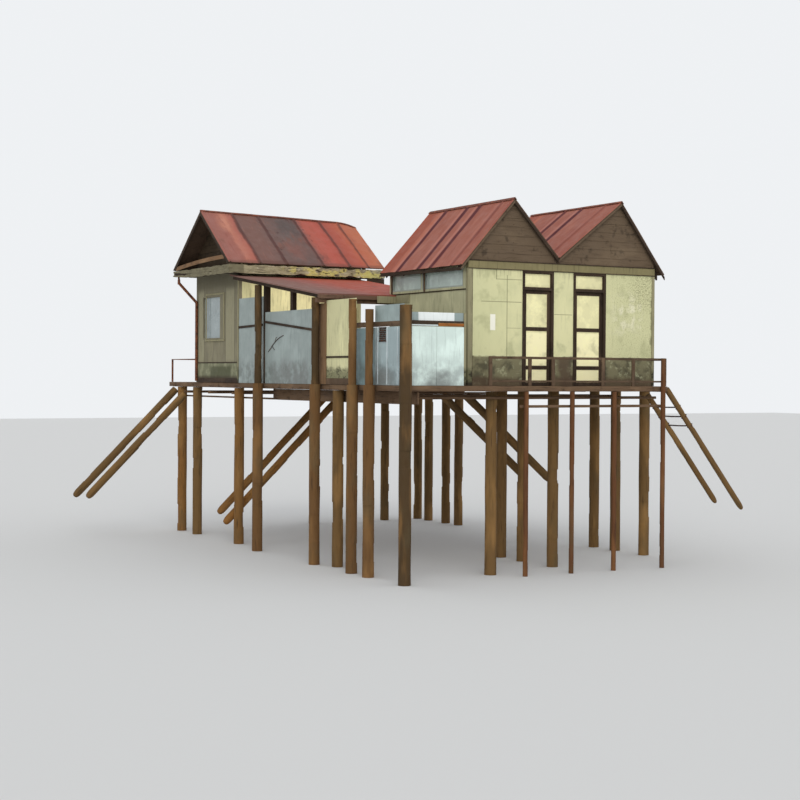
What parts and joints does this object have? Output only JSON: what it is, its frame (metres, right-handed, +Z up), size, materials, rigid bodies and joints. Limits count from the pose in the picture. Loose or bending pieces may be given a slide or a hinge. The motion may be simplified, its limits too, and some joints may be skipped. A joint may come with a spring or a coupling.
{
  "type": "stilt house",
  "caption": "timber stilt house with a gabled room, a lean-to porch, a screened corner terrace and a room under two gables, on one deck over piles with raking poles",
  "frame": {"origin": "centre of the foot of the corner pile, on the ground", "axes": "+X along the front to the right, +Y from the front to the back, +Z up"},
  "size_m": [14.7877, 16.6698, 10.4694],
  "materials": {
    "pile_wood": "weathered round timber",
    "tall_wood": "weathered round timber",
    "deck_wood": "weathered sawn timber",
    "frame_wood": "dark stained timber",
    "wall_cream": "cream paint on sheets, stained",
    "wall_olive": "weathered olive paint",
    "wall_tan": "weathered tan boards",
    "gable_wood": "brown boards",
    "roof_sheet": "red paint, faded and rusted",
    "screen_sheet": "grey-blue sheet, stained",
    "pale_panel": "pale blue panel",
    "window_glass": "dusty glass",
    "door_pane": "cream pane"
  },
  "bodies": {
    "house": {"corner_pile": "tall_wood", "left_piles": "pile_wood", "tall_posts": "tall_wood", "middle_piles": "pile_wood", "right_piles": "pile_wood", "slim_poles": "pile_wood", "deck_bearers": "deck_wood", "cross_ties": "deck_wood", "deck_joists": "deck_wood", "deck_floor": "deck_wood", "rim_boards": "deck_wood", "side_rims": "deck_wood", "left_rakers": "pile_wood", "inner_rakers": "pile_wood", "boat_ladder": "pile_wood", "end_wall": "wall_tan", "left_front_wall": "wall_cream", "left_rear_wall": "wall_tan", "left_inner_wall": "wall_tan", "end_window_frame": "frame_wood", "end_window_pane": "window_glass", "left_gable": "gable_wood", "left_roof_front": "roof_sheet", "left_roof_rear": "roof_sheet", "eave_beam": "wall_olive", "rain_pipe": "wall_tan", "rear_railing": "tall_wood", "porch_roof": "roof_sheet", "porch_frame": "frame_wood", "porch_screens": "screen_sheet", "bay_panel": "wall_cream", "screen_rails": "frame_wood", "terrace_screens": "pale_panel", "terrace_rails": "frame_wood", "terrace_lights": "pale_panel", "front_wall": "wall_cream", "side_wall_left": "wall_olive", "side_wall_right": "wall_olive", "rear_wall": "wall_olive", "strip_window_frame": "frame_wood", "strip_window_glass": "window_glass", "door_frames": "frame_wood", "top_light_panes": "door_pane", "front_gables": "gable_wood", "front_band": "wall_olive", "roof_left_slopes": "roof_sheet", "roof_right_slopes": "roof_sheet", "ridge_caps": "roof_sheet", "left_slope_rafters": "frame_wood", "right_slope_rafters": "frame_wood", "verge_boards": "frame_wood", "balcony_railing": "tall_wood"},
    "left_door": {"left_door": "frame_wood", "left_door_panes": "door_pane"},
    "right_door": {"right_door": "frame_wood", "right_door_panes": "door_pane"}
  },
  "joints": [
    {"name": "left_door_hinge", "type": "hinge", "parent": "house", "child": "left_door", "pos_m": [4.024, 0.808, 5], "axis": [0, 0, 1], "range_deg": [0, 90]},
    {"name": "right_door_hinge", "type": "hinge", "parent": "house", "child": "right_door", "pos_m": [6.606, 0.808, 5], "axis": [0, 0, -1], "range_deg": [0, 90]}
  ]
}
